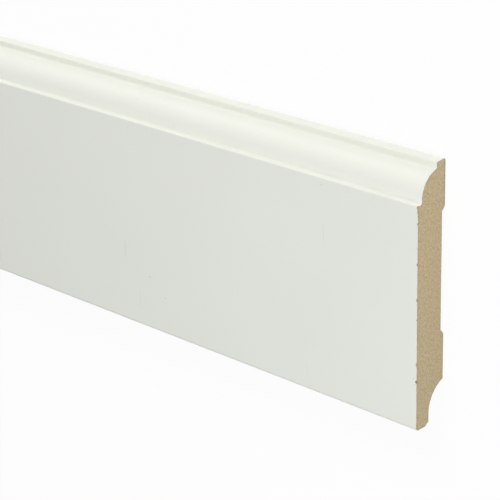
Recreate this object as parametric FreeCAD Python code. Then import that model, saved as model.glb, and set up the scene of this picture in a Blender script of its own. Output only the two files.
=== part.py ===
import FreeCAD, Part
import math
import os

# One length of moulded skirting board, lying flat on its back as loose stock lies.
# X runs along the board, +Y is the moulded edge that stands uppermost on the wall,
# and Z is the depth out from the wall. The origin is in the middle of the back.
# The section is measured in two directions only: depth out from the wall
# and height up from the floor edge.

# Overall sizes in millimetres
board_length = 2400.0
board_height = 120.0
board_thickness = 18.0

# Moulded edge, from the wall outwards and from the top down
crest_radius = 1.1
ledge_width = 5.8
ledge_fall = 0.35
nose_radius = 0.4
quirk_depth = 2.0
quirk_radius = 1.0
ovolo_radius = 11.4
ovolo_foot = 0.8
cove_radius = 1.0
shoulder_width = 2.6
arris_radius = 0.5

# Relief groove that lets the back bed on an uneven wall
upper_band_height = 21.3
groove_foot_height = 40.6
groove_depth = 1.9
groove_side_angle = 45.0
groove_edge_radius = 2.4

# Floor edge, and the cable recess behind it
foot_radius = 1.7
toe_thickness = 8.5
toe_straight = 5.6
recess_radius = 14.0
toe_bevel_depth = 2.4
toe_bevel_height = 1.6


def at(depth, height):
    """A point of the section at the left end of the board."""
    return FreeCAD.Vector(-board_length / 2, height - board_height / 2, depth)


def round_arc(centre, radius, start_angle, end_angle):
    """Arc step about a centre (depth, height). Angles run from the face towards the top."""
    points = []
    for angle in ((start_angle + end_angle) / 2, end_angle):
        turn = math.radians(angle)
        points.append(at(centre[0] + radius * math.cos(turn), centre[1] + radius * math.sin(turn)))
    return [tuple(points)]


def rounded_corner(before, corner, after, radius):
    """Line step up to a corner, then the arc that rounds it."""
    to_before = (before - corner).normalize()
    to_after = (after - corner).normalize()
    half_angle = to_before.getAngle(to_after) / 2
    tangent_length = radius / math.tan(half_angle)
    middle_way = (to_before + to_after).normalize()
    middle = corner + middle_way * (radius / math.sin(half_angle) - radius)
    return [(corner + to_before * tangent_length,), (middle, corner + to_after * tangent_length)]


def closed_wire(steps):
    """Wire from where its last step ends: a step of one point is a line, of two an arc."""
    edges = []
    here = steps[-1][-1]
    for step in steps:
        if len(step) == 1:
            edges.append(Part.LineSegment(here, step[0]).toShape())
        else:
            edges.append(Part.Arc(here, step[0], step[1]).toShape())
        here = step[-1]
    return Part.Wire(edges)


def floor_edge_and_face():
    """Flat floor edge, its eased front arris and the face above it."""
    return rounded_corner(at(0, 0), at(board_thickness, 0), at(board_thickness, board_height), foot_radius)


def moulded_edge():
    """Shoulder, cove, ovolo, quirk, nose and ledge, up to the crest at the wall."""
    ledge_front_height = board_height - ledge_fall
    quirk_centre = (ledge_width + quirk_radius, ledge_front_height - quirk_depth)

    # The ovolo stands back from the face and runs smoothly into the quirk
    ovolo_side = board_thickness - shoulder_width
    ovolo_centre_depth = ovolo_side - ovolo_radius
    across = quirk_centre[0] - ovolo_centre_depth
    rise = math.sqrt((ovolo_radius + quirk_radius) ** 2 - across ** 2)
    ovolo_centre = (ovolo_centre_depth, quirk_centre[1] - rise)
    meeting_angle = math.degrees(math.atan2(rise, across))

    shoulder_height = ovolo_centre[1] - ovolo_foot - cove_radius
    cove_centre = (ovolo_side + cove_radius, shoulder_height + cove_radius)
    shoulder_front = at(board_thickness, shoulder_height)
    shoulder_back = at(cove_centre[0], shoulder_height)
    ovolo_spring = at(ovolo_side, ovolo_centre[1])
    quirk_top = at(ledge_width, quirk_centre[1])
    ledge_front = at(ledge_width, ledge_front_height)
    crest_top = at(crest_radius, board_height)
    crest_centre = (crest_radius, board_height - crest_radius)

    steps = rounded_corner(at(board_thickness, 0), shoulder_front, shoulder_back, arris_radius)
    steps += [(shoulder_back,)]
    steps += round_arc(cove_centre, cove_radius, 270, 180)
    steps += [(ovolo_spring,)]
    steps += round_arc(ovolo_centre, ovolo_radius, 0, meeting_angle)
    steps += round_arc(quirk_centre, quirk_radius, 180 + meeting_angle, 180)
    steps += rounded_corner(quirk_top, ledge_front, crest_top, nose_radius)
    steps += [(crest_top,)]
    steps += round_arc(crest_centre, crest_radius, 90, 180)
    return steps


def relief_groove():
    """Shallow groove with sloping sides between the two bands that touch the wall."""
    side_run = groove_depth / math.tan(math.radians(groove_side_angle))
    upper_end = board_height - upper_band_height
    upper_lip = at(0, upper_end)
    upper_floor = at(groove_depth, upper_end - side_run)
    lower_lip = at(0, groove_foot_height)
    lower_floor = at(groove_depth, groove_foot_height + side_run)

    steps = rounded_corner(at(0, board_height), upper_lip, upper_floor, groove_edge_radius)
    steps += [(upper_floor,), (lower_floor,)]
    steps += rounded_corner(lower_floor, lower_lip, at(0, 0), groove_edge_radius)
    return steps


def cable_recess():
    """Cove cut out of the back above the floor edge, which leaves a thin toe."""
    recess_depth = board_thickness - toe_thickness
    recess_centre = (recess_depth - recess_radius, toe_straight)
    rise = math.sqrt(recess_radius ** 2 - recess_centre[0] ** 2)
    start_angle = math.degrees(math.atan2(rise, -recess_centre[0]))

    steps = [(at(0, toe_straight + rise),)]
    steps += round_arc(recess_centre, recess_radius, start_angle, 0)
    steps += [(at(recess_depth, toe_bevel_height),)]
    steps += [(at(recess_depth + toe_bevel_depth, 0),)]
    return steps


def skirting_board():
    """The whole board: its section carried along the length."""
    steps = floor_edge_and_face() + moulded_edge() + relief_groove() + cable_recess()
    section = Part.Face(closed_wire(steps))
    return section.extrude(FreeCAD.Vector(board_length, 0, 0))


os.makedirs("parts", exist_ok=True)
skirting_board().exportStep("parts/skirting_board.step")
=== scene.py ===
import math

import bmesh
import bpy
from mathutils import Matrix, Vector


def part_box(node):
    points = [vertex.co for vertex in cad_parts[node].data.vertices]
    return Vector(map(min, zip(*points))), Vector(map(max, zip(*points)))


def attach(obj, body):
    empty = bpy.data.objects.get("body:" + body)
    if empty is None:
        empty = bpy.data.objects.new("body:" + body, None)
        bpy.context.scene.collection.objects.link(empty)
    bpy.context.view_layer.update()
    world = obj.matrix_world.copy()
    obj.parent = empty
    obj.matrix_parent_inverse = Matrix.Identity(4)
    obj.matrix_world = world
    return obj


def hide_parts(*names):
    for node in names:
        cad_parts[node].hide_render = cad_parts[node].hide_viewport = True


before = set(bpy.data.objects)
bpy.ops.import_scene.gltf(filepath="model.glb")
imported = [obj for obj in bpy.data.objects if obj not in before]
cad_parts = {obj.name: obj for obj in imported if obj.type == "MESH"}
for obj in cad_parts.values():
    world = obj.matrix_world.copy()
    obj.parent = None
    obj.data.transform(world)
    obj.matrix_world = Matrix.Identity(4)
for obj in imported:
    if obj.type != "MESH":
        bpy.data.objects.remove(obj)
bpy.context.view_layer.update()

# One length of white skirting board, lying on its back. X runs along the board, +Y is the
# moulded edge and Z is the depth out from the wall. The section's sizes are in millimetres.
MM = 0.001
board_low, board_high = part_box("skirting_board")
board_length = (board_high[0] - board_low[0]) / MM
board_height = (board_high[1] - board_low[1]) / MM
board_thickness = (board_high[2] - board_low[2]) / MM

# Moulded edge
crest_radius = 1.1
ledge_width = 5.8
ledge_fall = 0.35
nose_radius = 0.4
quirk_depth = 2.0
quirk_radius = 1.0
ovolo_radius = 11.4
ovolo_foot = 0.8
cove_radius = 1.0
shoulder_width = 2.6
arris_radius = 0.5

# Relief groove, floor edge and cable recess
upper_band_height = 21.3
groove_foot_height = 40.6
groove_depth = 1.9
groove_side_angle = 45.0
groove_edge_radius = 2.4
foot_radius = 1.7
toe_thickness = 8.5
toe_straight = 5.6
recess_radius = 14.0
toe_bevel_depth = 2.4
toe_bevel_height = 1.6

# Degrees between the points of small rounds, of the ovolo and of the recess
small_round_step = 15.0
ovolo_step = 2.0
recess_step = 3.0

# Foil, which wraps over the crest and down the upper band of the back, and the order of the
# section's materials
foil_thickness = 0.15
glue_line = 0.22
foil_wrap = 16.0
FOIL, GLUE, CORE = range(3)

# Breaks in the foil at the near end: distance from the end and height up the face, then how far
# each reaches along the board, up its height and into it
foil_breaks = (
    (0.0, 103.2, 0.60, 0.9, 0.5),
    (0.0, 101.4, 0.25, 1.3, 0.3),
    (0.0, 95.8, 0.30, 0.6, 0.3),
    (0.0, 77.7, 0.50, 0.7, 0.4),
    (0.0, 61.6, 0.50, 0.8, 0.3),
    (0.0, 52.5, 0.35, 0.3, 0.2),
    (0.0, 31.8, 0.40, 0.7, 0.9),
    (0.0, 23.6, 0.70, 0.8, 0.9),
    (1.6, 24.8, 0.35, 0.12, 0.2),
    (1.1, 22.0, 0.25, 0.10, 0.2),
    (52.8, 100.6, 0.25, 0.25, 0.2),
    (152.4, 19.2, 0.25, 0.30, 0.2),
    (162.3, 27.3, 0.30, 0.25, 0.2),
)

# Voids between the fibres of the near end: depth and height, then reach in depth and in height
fibre_voids = (
    (0.6, 117.8, 0.25, 0.5),
    (0.7, 112.3, 0.35, 0.4),
    (11.5, 107.3, 0.40, 0.4),
    (15.8, 99.2, 0.30, 0.3),
    (14.7, 98.3, 0.25, 0.3),
    (16.5, 87.7, 0.25, 0.3),
    (9.3, 60.1, 0.30, 0.6),
    (12.0, 60.5, 0.30, 0.3),
    (3.4, 57.7, 0.25, 0.3),
    (6.7, 47.2, 0.30, 0.3),
    (10.1, 41.5, 0.30, 0.3),
    (6.7, 39.6, 0.30, 0.3),
    (3.9, 28.0, 0.25, 0.6),
    (13.7, 1.2, 0.30, 0.3),
)

# Small nibbles that the saw left along the foil on both ends
nibble_spacing = 1.2
nibble_radius = (0.04, 0.20)
nibble_share = 0.35
nibble_seed = 4

# Raggedness of every nick: the width of its lumps, and their height from trough to top
ragged_width = 0.6
ragged_push = 0.5

# Patterns of the foil: the widths of the ink's clouds and specks, the width of the scuffs, how
# many times longer they are, the patches that have them, and the width and height of the peel
ink_cloud = 60.0
ink_speck = 0.5
scuff_width = 1.0
scuff_stretch = 30
scuff_patch = 50.0
peel_width = 1.8
peel_height = 0.004

# Painted shade in the quirk under the nose: its middle, below the moulded edge and in front of the back,
# and how far from there it ends and is full
quirk_shade_drop = 1.7
quirk_shade_depth = 6.0
quirk_shade_end = 1.5
quirk_shade_full = 0.9

# Patterns of the fibre: widths, relief of each surface, and how deep the press has browned it
fibre_width = 0.8
tuft_width = 1.5
fleck_spacing = 4.0
sawn_relief = 0.05
planed_relief = 0.03
torn_width = 0.3
torn_relief = 0.1
pressed_depth = 1.6

# The glue line's stains, and the depths between which painted shade darkens it towards the back
stain_width = 1.5
back_shade_depths = (1.0, 0.5)

# Camera at the photograph's place, in metres, with its sensor's width and its focal length in
# millimetres
camera_place = (1.6885, 0.3475, 0.6261)
camera_forward = (-0.6404, -0.3820, -0.6663)
camera_up = (-0.2462, 0.9239, -0.2930)
camera_sensor = 36.0
camera_lens = 146.6

# Lights, in metres and watts: the surroundings' level and tint, and for each soft box where
# along the board it faces, its place, its side, its power and its tint
world_level = 0.16
world_tint = "#EDF8FF"
soft_boxes = {
    "edge soft box": (board_high[0], (1.1, 1.9, 1.2), 0.8, 23.7, "#FFFBF2"),
    "left soft box": (board_high[0], (-0.4, 1.9, 0.5), 0.9, 9.4, "#F4F6FF"),
    "end soft box": (board_high[0], (2.1, -0.3, 0.9), 0.6, 10.4, "#FFFFFF"),
    "foot soft box": (board_high[0], (1.0, -1.9, 0.8), 0.8, 2.2, "#EEF1FF"),
    "far edge soft box": (board_low[0], (-1.25, 0.95, 0.6), 0.4, 6.5, "#FFFFFF"),
    "far end soft box": (board_low[0], (-2.1, -0.3, 0.9), 0.6, 7.2, "#FFFFFF"),
    "middle soft box": (-0.4, (-0.4, 0.1, 0.6), 0.8, 1.0, "#FFFFFF"),
}

# Floor, in metres: its side, how far it lies under the board, and the share of it that is plain
# white wherever it is seen directly
floor_side = 60.0
floor_drop = 0.0002
floor_glow = 0.94


def add_node(tree, kind, inputs={}, **settings):
    """One node with its settings. An input is a value, a list of nodes or one node or output."""
    node = tree.nodes.new(kind)
    for name, value in settings.items():
        setattr(node, name, value)
    for name, value in inputs.items():
        socket = node.inputs[name]
        if isinstance(name, str) and not socket.enabled:
            socket = next(other for other in node.inputs if other.enabled and other.name == name)
        for source in value if isinstance(value, list) else [value]:
            if isinstance(source, bpy.types.Node):
                source = next(output for output in source.outputs if output.enabled)
            if isinstance(source, bpy.types.NodeSocket):
                tree.links.new(source, socket)
            else:
                socket.default_value = source
    return node


def linear(hex_colour):
    """An sRGB hex colour as the linear colour that the shaders take."""
    channels = []
    for start in (1, 3, 5):
        value = int(hex_colour[start:start + 2], 16) / 255
        channels.append(value / 12.92 if value <= 0.04045 else ((value + 0.055) / 1.055) ** 2.4)
    return (*channels, 1.0)


def new_material(name):
    """An empty material with a principled shader, its tree and that shader."""
    material = bpy.data.materials.new(name)
    material.use_nodes = True
    tree = material.node_tree
    return material, tree, tree.nodes["Principled BSDF"]


def satin_white_foil():
    """White decor foil pressed over fibreboard: a smooth satin with broad, soft highlights."""
    material, tree, shader = new_material("satin white foil")
    place = add_node(tree, "ShaderNodeTexCoord")
    mapped = add_node(
        tree, "ShaderNodeMapping",
        {"Vector": place.outputs["Object"], "Scale": (1 / MM, 1 / MM, 1 / MM)},
    )

    # White ink that varies a little, in wide clouds and in specks
    cloud = add_node(
        tree, "ShaderNodeTexNoise", {"Vector": mapped, "Scale": 1 / ink_cloud, "Detail": 1.0}
    )
    speckle = add_node(
        tree, "ShaderNodeTexNoise", {"Vector": mapped, "Scale": 1 / ink_speck, "Detail": 1.0}
    )
    mottle = add_node(
        tree, "ShaderNodeMix", {"Factor": 0.6, "A": cloud, "B": speckle}, data_type="FLOAT"
    )
    white = add_node(
        tree, "ShaderNodeMix",
        {"Factor": mottle, "A": linear("#ECEEE6"), "B": linear("#F6F8F0")},
        data_type="RGBA",
    )

    # Scuffs from stacking run up the height. Only the noise's peaks show, so they are about half
    # as wide and half as long as its cells, and they lie in patches.
    upright = add_node(
        tree, "ShaderNodeMapping",
        {"Vector": place.outputs["Object"], "Location": (7, 3, 5),
         "Scale": (1 / MM, 1 / MM / scuff_stretch, 1 / MM)},
    )
    lines = add_node(
        tree, "ShaderNodeTexNoise", {"Vector": upright, "Scale": 1 / scuff_width, "Detail": 1.0}
    )
    patches = add_node(
        tree, "ShaderNodeTexNoise", {"Vector": mapped, "Scale": 1 / scuff_patch, "Detail": 0.0}
    )
    worn_lines = add_node(
        tree, "ShaderNodeMapRange", {"Value": lines, "From Min": 0.70, "From Max": 0.80}
    )
    worn_places = add_node(
        tree, "ShaderNodeMapRange", {"Value": patches, "From Min": 0.55, "From Max": 0.65}
    )
    scuffs = add_node(tree, "ShaderNodeMath", {0: worn_lines, 1: worn_places}, operation="MULTIPLY")
    faint = add_node(tree, "ShaderNodeMath", {0: scuffs, 1: 0.5}, operation="MULTIPLY")
    colour = add_node(
        tree, "ShaderNodeMix", {"Factor": faint, "A": white, "B": linear("#D5D8D0")}, data_type="RGBA"
    )

    # Painted shade: a faint darker tint in the quirk deepens the shade under the nose to the photograph's
    # tone. The photograph doesn't show what the shade comes from.
    across = add_node(
        tree, "ShaderNodeVectorMath", {0: place.outputs["Object"], 1: (0.0, 1.0, 1.0)},
        operation="MULTIPLY",
    )
    quirk_place = (0.0, board_high[1] - quirk_shade_drop * MM, board_low[2] + quirk_shade_depth * MM)
    away = add_node(
        tree, "ShaderNodeVectorMath", {0: across, 1: quirk_place}, operation="DISTANCE"
    )
    painted_quirk_shade = add_node(
        tree, "ShaderNodeMapRange",
        {"Value": away.outputs["Value"], "From Min": quirk_shade_end * MM, "From Max": quirk_shade_full * MM},
    )
    quirk_shaded_colour = add_node(
        tree, "ShaderNodeMix", {"Factor": painted_quirk_shade, "A": colour.outputs["Result"], "B": linear("#FAF9F7")},
        data_type="RGBA", blend_type="MULTIPLY",
    )
    tree.links.new(quirk_shaded_colour.outputs["Result"], shader.inputs["Base Color"])

    # The fibres telegraph through the foil as a shallow peel
    peel = add_node(
        tree, "ShaderNodeTexNoise", {"Vector": mapped, "Scale": 1 / peel_width, "Detail": 1.0}
    )
    bump = add_node(
        tree, "ShaderNodeBump", {"Height": peel, "Distance": peel_height * MM, "Strength": 1.0}
    )
    gloss = add_node(
        tree, "ShaderNodeMapRange",
        {"Value": peel, "From Min": 0.3, "From Max": 0.7, "To Min": 0.42, "To Max": 0.48},
    )
    tree.links.new(bump.outputs["Normal"], shader.inputs["Normal"])
    tree.links.new(gloss.outputs["Result"], shader.inputs["Roughness"])
    shader.inputs["IOR"].default_value = 1.47
    return material


def fibre_colour(tree, stretch):
    """Colour of bare fibreboard, and its fibres: warm and green tufts, flecks, and a slow fade of painted
    light towards the moulded edge.
    """
    place = add_node(tree, "ShaderNodeTexCoord")
    mapped = add_node(
        tree, "ShaderNodeMapping",
        {"Vector": place.outputs["Object"], "Scale": tuple(1 / MM / part for part in stretch)},
    )

    # Fibres and others of half their width lie in tufts. Real ones are finer, and these are as
    # fine as the picture can show.
    fibres = add_node(
        tree, "ShaderNodeTexNoise",
        {"Vector": mapped, "Scale": 1 / fibre_width, "Detail": 1.0, "Roughness": 1.0},
    )
    tufts = add_node(
        tree, "ShaderNodeTexNoise", {"Vector": mapped, "Scale": 1 / tuft_width, "Detail": 1.0}
    )
    mingled = add_node(
        tree, "ShaderNodeMix", {"Factor": 0.3, "A": fibres, "B": tufts}, data_type="FLOAT"
    )
    shade = add_node(tree, "ShaderNodeMapRange", {"Value": mingled, "From Min": 0.41, "From Max": 0.59})
    warmth = add_node(tree, "ShaderNodeMapRange", {"Value": tufts, "From Min": 0.25, "From Max": 0.75})
    dark = add_node(
        tree, "ShaderNodeMix",
        {"Factor": warmth, "A": linear("#AFA378"), "B": linear("#B39A7C")},
        data_type="RGBA",
    )
    light = add_node(
        tree, "ShaderNodeMix",
        {"Factor": warmth, "A": linear("#C6BA93"), "B": linear("#CAB296")},
        data_type="RGBA",
    )
    body = add_node(tree, "ShaderNodeMix", {"Factor": shade, "A": dark, "B": light}, data_type="RGBA")

    # Flecks of bark and pale wood, about a quarter of a millimetre in radius
    cells = add_node(tree, "ShaderNodeTexVoronoi", {"Vector": mapped, "Scale": 1 / fleck_spacing})
    fleck = add_node(
        tree, "ShaderNodeMapRange",
        {"Value": cells, "From Min": 0.09, "From Max": 0.05, "To Min": 0.0, "To Max": 0.7},
    )
    pale = add_node(
        tree, "ShaderNodeMapRange", {"Value": cells.outputs["Color"], "From Min": 0.55, "From Max": 0.56}
    )
    fleck_colour = add_node(
        tree, "ShaderNodeMix",
        {"Factor": pale, "A": linear("#86694E"), "B": linear("#DCD0B4")},
        data_type="RGBA",
    )
    flecked = add_node(
        tree, "ShaderNodeMix", {"Factor": fleck, "A": body, "B": fleck_colour}, data_type="RGBA"
    )

    # Painted light pales the fibre by a tenth from the floor edge to the moulded edge, where more light
    # falls, and the press has browned it near the face
    where = add_node(tree, "ShaderNodeSeparateXYZ", {"Vector": place.outputs["Object"]})
    painted_light_fade = add_node(
        tree, "ShaderNodeMapRange",
        {"Value": where.outputs["Y"], "From Min": board_low[1], "From Max": board_high[1],
         "To Min": 0.955, "To Max": 1.055},
    )
    pressed = add_node(
        tree, "ShaderNodeMapRange",
        {"Value": where.outputs["Z"], "From Min": board_high[2] - pressed_depth * MM,
         "From Max": board_high[2], "To Min": 1.0, "To Max": 0.90},
    )
    level = add_node(tree, "ShaderNodeMath", {0: painted_light_fade, 1: pressed}, operation="MULTIPLY")
    colour = add_node(
        tree, "ShaderNodeVectorMath", {"Vector": flecked, "Scale": level}, operation="SCALE"
    )
    return colour, fibres


def sawn_fibreboard():
    """Saw-cut medium density fibreboard: dead matt and speckled, with no direction to its grain."""
    material, tree, shader = new_material("sawn fibreboard")
    colour, fibres = fibre_colour(tree, (1.0, 1.2, 0.9))
    tree.links.new(colour.outputs["Vector"], shader.inputs["Base Color"])
    bump = add_node(
        tree, "ShaderNodeBump", {"Height": fibres, "Distance": sawn_relief * MM, "Strength": 0.6}
    )
    tree.links.new(bump.outputs["Normal"], shader.inputs["Normal"])
    shader.inputs["Roughness"].default_value = 0.9
    shader.inputs["IOR"].default_value = 1.53
    return material


def planed_fibreboard():
    """Milled back of the board: smoother and closer, with tool marks drawn out along the length."""
    material, tree, shader = new_material("planed fibreboard")
    colour, fibres = fibre_colour(tree, (4.0, 1.0, 1.0))
    tree.links.new(colour.outputs["Vector"], shader.inputs["Base Color"])
    bump = add_node(
        tree, "ShaderNodeBump", {"Height": fibres, "Distance": planed_relief * MM, "Strength": 0.4}
    )
    tree.links.new(bump.outputs["Normal"], shader.inputs["Normal"])
    shader.inputs["Roughness"].default_value = 0.75
    shader.inputs["IOR"].default_value = 1.53
    return material


def torn_fibreboard():
    """Fibres torn out under the foil and in the voids: loose, warm brown and darker than sawn ones."""
    material, tree, shader = new_material("torn fibreboard")
    place = add_node(tree, "ShaderNodeTexCoord")
    fluff = add_node(
        tree, "ShaderNodeTexNoise", {"Vector": place.outputs["Object"], "Scale": 1 / (torn_width * MM)}
    )
    colour = add_node(
        tree, "ShaderNodeMix",
        {"Factor": fluff, "A": linear("#A58466"), "B": linear("#CBAF92")},
        data_type="RGBA",
    )
    bump = add_node(
        tree, "ShaderNodeBump", {"Height": fluff, "Distance": torn_relief * MM, "Strength": 0.8}
    )
    tree.links.new(colour.outputs["Result"], shader.inputs["Base Color"])
    tree.links.new(bump.outputs["Normal"], shader.inputs["Normal"])
    shader.inputs["Roughness"].default_value = 0.95
    shader.inputs["IOR"].default_value = 1.53
    return material


def glue_stained_fibre():
    """Thin line of glue and crushed fibre under the foil: greyer brown, and darkened at the back by
    painted shade.
    """
    material, tree, shader = new_material("glue stained fibre")
    place = add_node(tree, "ShaderNodeTexCoord")
    stain = add_node(
        tree, "ShaderNodeTexNoise", {"Vector": place.outputs["Object"], "Scale": 1 / (stain_width * MM)}
    )
    front = add_node(
        tree, "ShaderNodeMix",
        {"Factor": stain, "A": linear("#8C7276"), "B": linear("#AD9290")},
        data_type="RGBA",
    )
    # Painted shade darkens the glue line to a dark olive near the back
    depth = add_node(tree, "ShaderNodeSeparateXYZ", {"Vector": place.outputs["Object"]})
    painted_back_shade = add_node(
        tree, "ShaderNodeMapRange",
        {"Value": depth.outputs["Z"], "From Min": back_shade_depths[0] * MM, "From Max": back_shade_depths[1] * MM},
    )
    colour = add_node(
        tree, "ShaderNodeMix", {"Factor": painted_back_shade, "A": front, "B": linear("#5E5436")}, data_type="RGBA"
    )
    tree.links.new(colour.outputs["Result"], shader.inputs["Base Color"])
    shader.inputs["Roughness"].default_value = 0.8
    shader.inputs["IOR"].default_value = 1.5
    return material


def arc(centre, radius, start_angle, end_angle, step):
    """Points (depth, height) of an arc. Angles run from the face towards the top."""
    count = max(2, round(abs(end_angle - start_angle) / step))
    points = []
    for i in range(count + 1):
        turn = math.radians(start_angle + (end_angle - start_angle) * i / count)
        points.append((centre[0] + radius * math.cos(turn), centre[1] + radius * math.sin(turn)))
    return points


def rounded(before, corner, after, radius):
    """Points of the arc that rounds a corner between two straight sides."""
    corner = Vector(corner)
    to_before = (Vector(before) - corner).normalized()
    to_after = (Vector(after) - corner).normalized()
    half_angle = to_before.angle(to_after) / 2
    centre = corner + (to_before + to_after).normalized() * radius / math.sin(half_angle)
    start = corner + to_before * radius / math.tan(half_angle) - centre
    end = corner + to_after * radius / math.tan(half_angle) - centre
    start_angle = math.degrees(math.atan2(start.y, start.x))
    turn = (math.degrees(math.atan2(end.y, end.x)) - start_angle + 180) % 360 - 180
    return arc(centre, radius, start_angle, start_angle + turn, small_round_step)


def foil_side():
    """The outline under the foil: floor edge, face, shoulder, ovolo, quirk and ledge, to the back."""
    foot = (board_thickness, 0)
    ledge_front_height = board_height - ledge_fall
    quirk_centre = (ledge_width + quirk_radius, ledge_front_height - quirk_depth)
    ovolo_side = board_thickness - shoulder_width
    across = quirk_centre[0] - (ovolo_side - ovolo_radius)
    rise = math.sqrt((ovolo_radius + quirk_radius) ** 2 - across ** 2)
    ovolo_centre = (ovolo_side - ovolo_radius, quirk_centre[1] - rise)
    meeting_angle = math.degrees(math.atan2(rise, across))
    shoulder_height = ovolo_centre[1] - ovolo_foot - cove_radius
    cove_centre = (ovolo_side + cove_radius, shoulder_height + cove_radius)
    shoulder = (board_thickness, shoulder_height)
    crest_top = (crest_radius, board_height)
    crest_centre = (crest_radius, board_height - crest_radius)

    points = [(board_thickness - toe_thickness + toe_bevel_depth, 0)]
    points += rounded((0, 0), foot, shoulder, foot_radius)
    points += rounded(foot, shoulder, (0, shoulder_height), arris_radius)
    points += arc(cove_centre, cove_radius, 270, 180, small_round_step)
    points += arc(ovolo_centre, ovolo_radius, 0, meeting_angle, ovolo_step)
    points += arc(quirk_centre, quirk_radius, 180 + meeting_angle, 180, small_round_step)[1:]
    points += rounded((ledge_width, 0), (ledge_width, ledge_front_height), crest_top, nose_radius)
    points += arc(crest_centre, crest_radius, 90, 180, small_round_step)
    points += [(0, board_height - foil_wrap)]
    return points


def bare_side():
    """The rest of the outline: wall bands, relief groove, cable recess and the toe's bevel."""
    side_run = groove_depth / math.tan(math.radians(groove_side_angle))
    upper_end = board_height - upper_band_height
    upper_floor = (groove_depth, upper_end - side_run)
    lower_floor = (groove_depth, groove_foot_height + side_run)
    recess_depth = board_thickness - toe_thickness
    recess_centre = (recess_depth - recess_radius, toe_straight)
    recess_rise = math.sqrt(recess_radius ** 2 - recess_centre[0] ** 2)
    start_angle = math.degrees(math.atan2(recess_rise, -recess_centre[0]))

    points = rounded((0, board_height), (0, upper_end), upper_floor, groove_edge_radius)
    points += [upper_floor, lower_floor]
    points += rounded(lower_floor, (0, groove_foot_height), (0, 0), groove_edge_radius)
    points += arc(recess_centre, recess_radius, start_angle, 0, recess_step)
    points += [(recess_depth, toe_bevel_height)]
    return points


def board_section(materials):
    """The section as a flat mesh at the left end: a ring of foil, a glue line, and the core."""
    wrapped = foil_side()
    outline = wrapped + bare_side()
    mesh = bpy.data.meshes.new("board section")
    for material in materials:
        mesh.materials.append(material)

    shape = bmesh.new()
    corners = []
    for depth, height in outline:
        corners.append(shape.verts.new((board_low[0], board_low[1] + height * MM, depth * MM)))
    face = shape.faces.new(corners)
    face.normal_flip()
    face.normal_update()
    under_foil = {frozenset(pair) for pair in zip(corners[:len(wrapped)], corners[1:])}
    foil_edges = [edge for edge in face.edges if frozenset(edge.verts) in under_foil]
    for width, ring_slot in ((foil_thickness, FOIL), (glue_line, GLUE)):
        ring = bmesh.ops.inset_region(
            shape, faces=[face], thickness=width * MM, use_even_offset=True, use_boundary=True
        )
        inner_edges = []
        for strip in ring["faces"]:
            covered = any(edge in foil_edges for edge in strip.edges)
            strip.material_index = ring_slot if covered else CORE
            if covered:
                inner_edges += [edge for edge in strip.edges if face in edge.link_faces]
        foil_edges = inner_edges
    face.material_index = CORE
    shape.to_mesh(mesh)
    shape.free()
    return mesh


def geometry_tree(name, extra_inputs):
    """A Geometry Nodes tree with a mesh in and out, and the named inputs."""
    tree = bpy.data.node_groups.new(name, "GeometryNodeTree")
    tree.interface.new_socket("Geometry", in_out="INPUT", socket_type="NodeSocketGeometry")
    tree.interface.new_socket("Geometry", in_out="OUTPUT", socket_type="NodeSocketGeometry")
    for label, kind in extra_inputs:
        tree.interface.new_socket(label, in_out="INPUT", socket_type=kind)
    return tree, add_node(tree, "NodeGroupInput"), add_node(tree, "NodeGroupOutput")


def run_tree(mesh, tree, values, name):
    """The mesh that a tree makes of another, as a plain object at the origin."""
    worked = bpy.data.objects.new(name, mesh)
    bpy.context.scene.collection.objects.link(worked)
    modifier = worked.modifiers.new(tree.name, "NODES")
    modifier.node_group = tree
    for socket in tree.interface.items_tree:
        if socket.in_out == "INPUT" and socket.name in values:
            modifier[socket.identifier] = values[socket.name]
    graph = bpy.context.evaluated_depsgraph_get()
    made = bpy.data.meshes.new_from_object(worked.evaluated_get(graph))
    worked.modifiers.remove(modifier)
    worked.data = made
    return worked


def nick_places():
    """Where the saw broke the edges: lone points for breaks and voids, lines along the foil's edge."""
    mesh = bpy.data.meshes.new("nick places")
    points = []
    sizes = []
    for from_end, height, along, up, into in foil_breaks:
        points.append((board_high[0] - from_end * MM, board_low[1] + height * MM, board_high[2]))
        sizes += [along * MM, up * MM, into * MM]
    for depth, height, across, up in fibre_voids:
        points.append((board_high[0], board_low[1] + height * MM, depth * MM))
        sizes += [across * MM, up * MM, across * MM]

    edges = []
    for end in (board_low[0], board_high[0]):
        first = len(points)
        points += [(end, board_low[1] + height * MM, depth * MM) for depth, height in foil_side()]
        edges += [(i, i + 1) for i in range(first, len(points) - 1)]
    sizes += [0.0] * (3 * len(points) - len(sizes))
    mesh.from_pydata(points, edges, [])
    mesh.attributes.new("size", "FLOAT_VECTOR", "POINT").data.foreach_set("vector", sizes)
    return mesh


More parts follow.
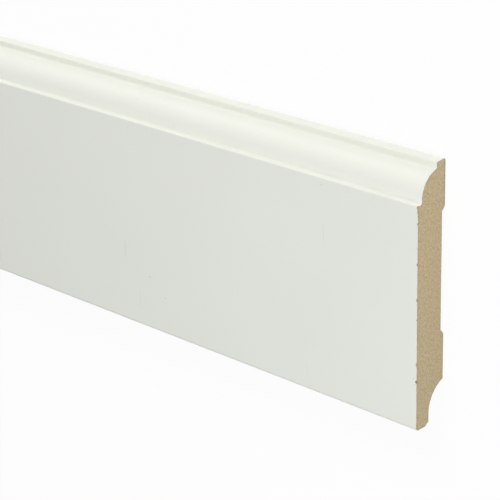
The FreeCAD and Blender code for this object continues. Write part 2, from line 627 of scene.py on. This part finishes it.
def nicks_tree():
    """Ragged lumps for cutting: one at each chosen place, and small ones spread along the lines."""
    inputs = [
        ("Spacing", "NodeSocketFloat"),
        ("Smallest", "NodeSocketFloat"),
        ("Largest", "NodeSocketFloat"),
        ("Share", "NodeSocketFloat"),
        ("Seed", "NodeSocketInt"),
        ("Torn material", "NodeSocketMaterial"),
    ]
    tree, given, result = geometry_tree("saw nicks", inputs)
    places = given.outputs["Geometry"]
    seed = given.outputs["Seed"]
    lump = add_node(tree, "GeometryNodeMeshIcoSphere", {"Radius": 1.0, "Subdivisions": 2})

    # Chosen places carry their own size, and the points of the lines have none
    size = add_node(tree, "GeometryNodeInputNamedAttribute", {"Name": "size"}, data_type="FLOAT_VECTOR")
    reach = add_node(tree, "ShaderNodeVectorMath", {"Vector": size}, operation="LENGTH")
    chosen = add_node(
        tree, "GeometryNodeInstanceOnPoints",
        {"Points": places, "Selection": reach, "Instance": lump, "Scale": size},
    )

    # Nibbles lie along the lines, each of its own size and turned its own way
    lines = add_node(tree, "GeometryNodeMeshToCurve", {"Mesh": places})
    spread = add_node(
        tree, "GeometryNodeCurveToPoints", {"Curve": lines, "Length": given.outputs["Spacing"]},
        mode="LENGTH",
    )
    kept = add_node(
        tree, "FunctionNodeRandomValue",
        {"Probability": given.outputs["Share"], "Seed": seed},
        data_type="BOOLEAN",
    )
    radius = add_node(
        tree, "FunctionNodeRandomValue",
        {"Min": given.outputs["Smallest"], "Max": given.outputs["Largest"], "Seed": seed},
        data_type="FLOAT",
    )
    turn = add_node(
        tree, "FunctionNodeRandomValue", {"Max": (math.tau, math.tau, math.tau), "Seed": seed},
        data_type="FLOAT_VECTOR",
    )
    nibbles = add_node(
        tree, "GeometryNodeInstanceOnPoints",
        {"Points": spread, "Selection": kept, "Instance": lump, "Rotation": turn, "Scale": radius},
    )
    both = add_node(tree, "GeometryNodeJoinGeometry", {"Geometry": [chosen, nibbles]})
    realized = add_node(tree, "GeometryNodeRealizeInstances", {"Geometry": both})

    # Torn fibre is ragged, so each lump is pushed about by a fine noise
    rough = add_node(tree, "ShaderNodeTexNoise", {"Scale": 1 / (ragged_width * MM), "Detail": 1.0})
    middle = add_node(
        tree, "ShaderNodeVectorMath", {0: rough.outputs["Color"], 1: (0.5, 0.5, 0.5)},
        operation="SUBTRACT",
    )
    push = add_node(
        tree, "ShaderNodeVectorMath", {"Vector": middle, "Scale": ragged_push * MM}, operation="SCALE"
    )
    ragged = add_node(tree, "GeometryNodeSetPosition", {"Geometry": realized, "Offset": push})
    torn = add_node(
        tree, "GeometryNodeSetMaterial", {"Geometry": ragged, "Material": given.outputs["Torn material"]}
    )
    tree.links.new(torn.outputs["Geometry"], result.inputs["Geometry"])
    return tree


def moulding_run_tree():
    """Carries the section along the board, closes the far end, and cuts the nicks out of it."""
    inputs = [
        ("Length", "NodeSocketFloat"),
        ("Core slot", "NodeSocketInt"),
        ("Planed material", "NodeSocketMaterial"),
        ("Nicks", "NodeSocketObject"),
    ]
    tree, given, result = geometry_tree("moulding run", inputs)
    section = given.outputs["Geometry"]
    along = add_node(tree, "ShaderNodeCombineXYZ", {"X": given.outputs["Length"]})
    swept = add_node(
        tree, "GeometryNodeExtrudeMesh", {"Mesh": section, "Offset": along, "Individual": False}
    )
    left_end = add_node(tree, "GeometryNodeFlipFaces", {"Mesh": section})
    both = add_node(tree, "GeometryNodeJoinGeometry", {"Geometry": [swept, left_end]})
    closed = add_node(tree, "GeometryNodeMergeByDistance", {"Geometry": both, "Distance": 0.001 * MM})

    # Bare fibreboard that isn't on an end is the planed back
    normal = add_node(tree, "GeometryNodeInputNormal")
    facing = add_node(tree, "ShaderNodeSeparateXYZ", {"Vector": normal})
    sideways = add_node(
        tree, "FunctionNodeCompare", {"A": facing, "B": 0.0, "Epsilon": 0.5},
        data_type="FLOAT", operation="EQUAL",
    )
    slot = add_node(tree, "GeometryNodeInputMaterialIndex")
    bare = add_node(
        tree, "FunctionNodeCompare", {"A": slot, "B": given.outputs["Core slot"]},
        data_type="INT", operation="EQUAL",
    )
    back = add_node(tree, "FunctionNodeBooleanMath", {0: sideways, 1: bare}, operation="AND")
    marked = add_node(
        tree, "GeometryNodeStoreNamedAttribute", {"Geometry": closed, "Name": "planed", "Value": back},
        data_type="BOOLEAN", domain="FACE",
    )

    nicks = add_node(tree, "GeometryNodeObjectInfo", {"Object": given.outputs["Nicks"]})
    cut = add_node(
        tree, "GeometryNodeMeshBoolean",
        {"Mesh 1": marked, "Mesh 2": nicks.outputs["Geometry"], "Self Intersection": True},
        operation="DIFFERENCE", solver="EXACT",
    )
    realized = add_node(tree, "GeometryNodeRealizeInstances", {"Geometry": cut})
    planed = add_node(tree, "GeometryNodeInputNamedAttribute", {"Name": "planed"}, data_type="BOOLEAN")
    finished = add_node(
        tree, "GeometryNodeSetMaterial",
        {"Geometry": realized, "Selection": planed, "Material": given.outputs["Planed material"]},
    )
    tree.links.new(finished.outputs["Geometry"], result.inputs["Geometry"])
    return tree


def make_board():
    """The board with its foil, sawn ends and planed back, in place of the plain solid."""
    nick_values = {
        "Spacing": nibble_spacing * MM,
        "Smallest": nibble_radius[0] * MM,
        "Largest": nibble_radius[1] * MM,
        "Share": nibble_share,
        "Seed": nibble_seed,
        "Torn material": torn_fibreboard(),
    }
    nicks = run_tree(nick_places(), nicks_tree(), nick_values, "nicks")
    run_values = {
        "Length": board_length * MM,
        "Core slot": CORE,
        "Planed material": planed_fibreboard(),
        "Nicks": nicks,
    }
    section = board_section([satin_white_foil(), glue_stained_fibre(), sawn_fibreboard()])
    board = run_tree(section, moulding_run_tree(), run_values, "moulded_board")
    bpy.data.objects.remove(nicks)

    # Flat runs stay flat beside the small rounds, because the widest face rules each normal
    board.data.set_sharp_from_angle(angle=math.radians(30))
    weighted = board.modifiers.new("weighted normals", "WEIGHTED_NORMAL")
    weighted.keep_sharp = True
    return board


def seen_directly(tree):
    """One for rays from the camera, a reflection or through glass, so that these meet plain white."""
    path = add_node(tree, "ShaderNodeLightPath")
    seen = add_node(
        tree, "ShaderNodeMath",
        {0: path.outputs["Is Camera Ray"], 1: path.outputs["Is Glossy Ray"]},
        operation="MAXIMUM",
    )
    return add_node(
        tree, "ShaderNodeMath", {0: seen, 1: path.outputs["Is Transmission Ray"]}, operation="MAXIMUM"
    )


def make_floor():
    """Plain pale floor that looks white, and keeps the board's soft shadow."""
    bpy.ops.mesh.primitive_plane_add(size=floor_side, location=(0.0, 0.0, -floor_drop))
    floor = bpy.context.object
    floor.name = "floor"
    material, tree, shader = new_material("pale floor")
    shader.inputs["Base Color"].default_value = linear("#F4F4F2")
    shader.inputs["Roughness"].default_value = 0.9
    share = add_node(
        tree, "ShaderNodeMath", {0: seen_directly(tree), 1: floor_glow}, operation="MULTIPLY"
    )
    white = add_node(tree, "ShaderNodeEmission", {"Strength": 1.0})
    mixed = add_node(tree, "ShaderNodeMixShader", {0: share, 1: shader, 2: white})
    tree.links.new(mixed.outputs["Shader"], tree.nodes["Material Output"].inputs["Surface"])
    floor.data.materials.append(material)


def soft_box(name, along, place, side, watts, tint):
    """A square soft box that faces the board's middle line, at one place along it."""
    lamp = bpy.data.lights.new(name, "AREA")
    lamp.size = side
    lamp.energy = watts
    lamp.color = linear(tint)[:3]
    holder = bpy.data.objects.new(name, lamp)
    aim = Vector((along, 0.0, 0.0)) - Vector(place)
    turn = aim.to_track_quat("-Z", "Y").to_matrix().to_4x4()
    holder.matrix_world = Matrix.Translation(place) @ turn
    bpy.context.scene.collection.objects.link(holder)


def light_the_room():
    """Even surroundings, with soft boxes around both ends of the board and one over its middle."""
    world = bpy.data.worlds.new("white studio")
    bpy.context.scene.world = world
    world.use_nodes = True
    tree = world.node_tree
    seen = seen_directly(tree)
    strength = add_node(
        tree, "ShaderNodeMapRange", {"Value": seen, "To Min": world_level, "To Max": 1.0}
    )
    colour = add_node(
        tree, "ShaderNodeMix", {"Factor": seen, "A": linear(world_tint), "B": linear("#FFFFFF")},
        data_type="RGBA",
    )
    background = tree.nodes["Background"]
    tree.links.new(colour.outputs["Result"], background.inputs["Color"])
    tree.links.new(strength.outputs["Result"], background.inputs["Strength"])
    for name, values in soft_boxes.items():
        soft_box(name, *values)


def set_camera():
    """The photograph's view of the board's near end."""
    forward = Vector(camera_forward).normalized()
    right = forward.cross(Vector(camera_up)).normalized()
    turn = Matrix((right, right.cross(forward), -forward)).transposed().to_4x4()
    camera = bpy.data.cameras.new("camera")
    camera.lens = camera_lens
    camera.sensor_width = camera_sensor
    camera.clip_start = 0.01
    holder = bpy.data.objects.new("camera", camera)
    holder.matrix_world = Matrix.Translation(camera_place) @ turn
    bpy.context.scene.collection.objects.link(holder)
    bpy.context.scene.camera = holder


board = make_board()
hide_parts("skirting_board")
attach(board, "root")
make_floor()
light_the_room()
set_camera()
bpy.context.scene.view_settings.view_transform = "Standard"
